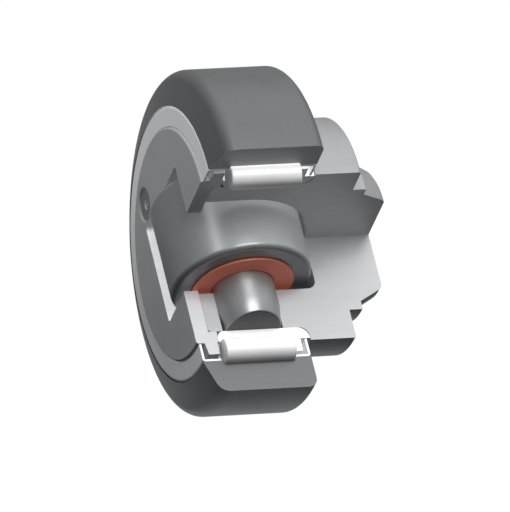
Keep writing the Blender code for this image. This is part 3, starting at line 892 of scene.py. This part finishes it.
def make_light(name, towards, distance, size, power, lit=(), glint=False):
    """A square soft light that faces the follower from that direction. With pieces given, it is on those
    alone and throws no shadows: a fill that the steel doesn't mirror, or a glint that it only mirrors."""
    data = bpy.data.lights.new(name, "AREA")
    data.shape = "SQUARE"
    data.size = size
    data.energy = power
    light = bpy.data.objects.new(name, data)
    direction = Vector(towards).normalized()
    light.location = direction * distance
    light.rotation_mode = "QUATERNION"
    light.rotation_quaternion = direction.to_track_quat("Z", "Y")
    bpy.context.scene.collection.objects.link(light)
    if lit:
        data.use_shadow = False
        data.cycles.use_multiple_importance_sampling = False
        light.visible_glossy = glint
        light.visible_diffuse = not glint
        receivers = bpy.data.collections.new(name + "_receivers")
        for piece in lit:
            receivers.objects.link(piece)
        light.light_linking.receiver_collection = receivers


def make_lights(ring, seals, bright_pieces, disc, stud, axial_roller, pin, washers):
    """The key light on everything, then the fills and glints, each for the pieces that it names."""
    make_light("key", towards=(-0.1, 0, 1), distance=0.7, size=0.4, power=2.38)
    fills = {
        "front_fill": ((-0.3, -0.4, 0.85), 0.2, 1.7, [disc, *seals]),
        "ring_fill": ((0.05, 0.08, -1), 0.4, 13.0, [ring]),
        "stud_fill": ((0, 0, -1), 0.3, 5.0, [stud]),
        "axial_fill": ((-0.45, 0.4, 0.8), 0.25, 2.1, [axial_roller]),
        "washer_fill": ((0.8, -0.3, 0.5), 0.2, 0.55, washers),
        "bright_fill": ((-0.3, 0.1, 0.95), 0.3, 2.0, bright_pieces),
    }
    glints = {
        "axial_glint": ((-0.49, -0.6, 0.62), 0.08, 0.12, [axial_roller]),
        "axial_end_glint": ((0.12, 0.46, 0.87), 0.05, 0.065, [axial_roller]),
        "pin_glint": ((-0.15, -0.16, 0.97), 0.05, 0.15, [pin]),
    }
    for lights, glint in ((fills, False), (glints, True)):
        for name, (towards, size, power, lit) in lights.items():
            make_light(name, towards, FILL_DISTANCE, size, power, lit, glint)


def make_world():
    """A soft studio sky: bright overhead and towards -X, dim low down, at the front and towards +X."""
    world = bpy.data.worlds.new("studio")
    bpy.context.scene.world = world
    world.use_nodes = True
    tree = world.node_tree
    direction = tree.nodes.new("ShaderNodeTexCoord").outputs["Generated"]
    split = tree.nodes.new("ShaderNodeSeparateXYZ")
    tree.links.new(direction, split.inputs[0])
    factors = []
    # Along each axis: where the slope starts and ends, and the brightness there
    slopes = {
        "X": (-1, 0.4, SKY_LEFT, SKY_RIGHT),
        "Y": (-1, 0.3, SKY_FRONT, 1.0),
        "Z": (-0.2, 0.6, SKY_LOW, 1.0),
    }
    for axis, values in slopes.items():
        ramp = tree.nodes.new("ShaderNodeMapRange")
        tree.links.new(split.outputs[axis], ramp.inputs["Value"])
        for name, value in zip(("From Min", "From Max", "To Min", "To Max"), values):
            ramp.inputs[name].default_value = value
        factors.append(ramp.outputs[0])
    strength = factors[0]
    for factor in factors[1:]:
        product = tree.nodes.new("ShaderNodeMath")
        product.operation = "MULTIPLY"
        tree.links.new(strength, product.inputs[0])
        tree.links.new(factor, product.inputs[1])
        strength = product.outputs[0]
    tree.links.new(strength, tree.nodes["Background"].inputs["Strength"])
    tree.nodes["Background"].inputs["Color"].default_value = (1, 1, 1, 1)


def make_camera():
    """A long lens that looks down at the cut from its open side, rolled so that the main axis is tilted."""
    azimuth = math.radians(CAMERA_AZIMUTH_DEG)
    elevation = math.radians(CAMERA_ELEVATION_DEG)
    roll = math.radians(CAMERA_ROLL_DEG)
    level = Vector((math.cos(azimuth), math.sin(azimuth), 0))
    outward = Vector((math.sin(azimuth), -math.cos(azimuth), 0))
    back = outward * math.cos(elevation) + Vector((0, 0, math.sin(elevation)))
    right = level * math.cos(roll) + back.cross(level) * math.sin(roll)
    up = back.cross(right)
    point = Vector((0, CAMERA_POINT_Y, 0))
    aim = point + right * CAMERA_AIM_RIGHT - up * CAMERA_AIM_DOWN
    place = point + back * CAMERA_DISTANCE
    back = (place - aim).normalized()
    right = (right - back * right.dot(back)).normalized()
    up = back.cross(right)
    data = bpy.data.cameras.new("camera")
    data.sensor_width = SENSOR_WIDTH
    data.lens = SENSOR_WIDTH * CAMERA_DISTANCE / PICTURE_WIDTH
    data.clip_end = 20
    camera = bpy.data.objects.new("camera", data)
    camera.matrix_world = Matrix.Translation(place * MM) @ Matrix((right, up, back)).transposed().to_4x4()
    bpy.context.scene.collection.objects.link(camera)
    bpy.context.scene.camera = camera


def build_scene():
    finish = make_materials()
    head, stem, passage, cross = grease_tools()
    ring = make_outer_ring(finish)
    seals = make_seals(finish)
    bright_pieces = [make_inner_ring(finish, cross), *make_rollers(finish)]
    disc = make_front_disc(finish, head)
    stud = make_stud(finish, [stem, passage, cross])
    axial_roller = make_axial_roller(finish)
    pin = make_axle_pin(finish)
    washers = make_thrust_washers(finish)
    make_needles(finish)
    make_nipple(finish)
    make_floor()
    make_world()
    make_lights(ring, seals, bright_pieces, disc, stud, axial_roller, pin, washers)
    make_camera()
    bpy.context.scene.view_settings.view_transform = "Standard"


build_scene()
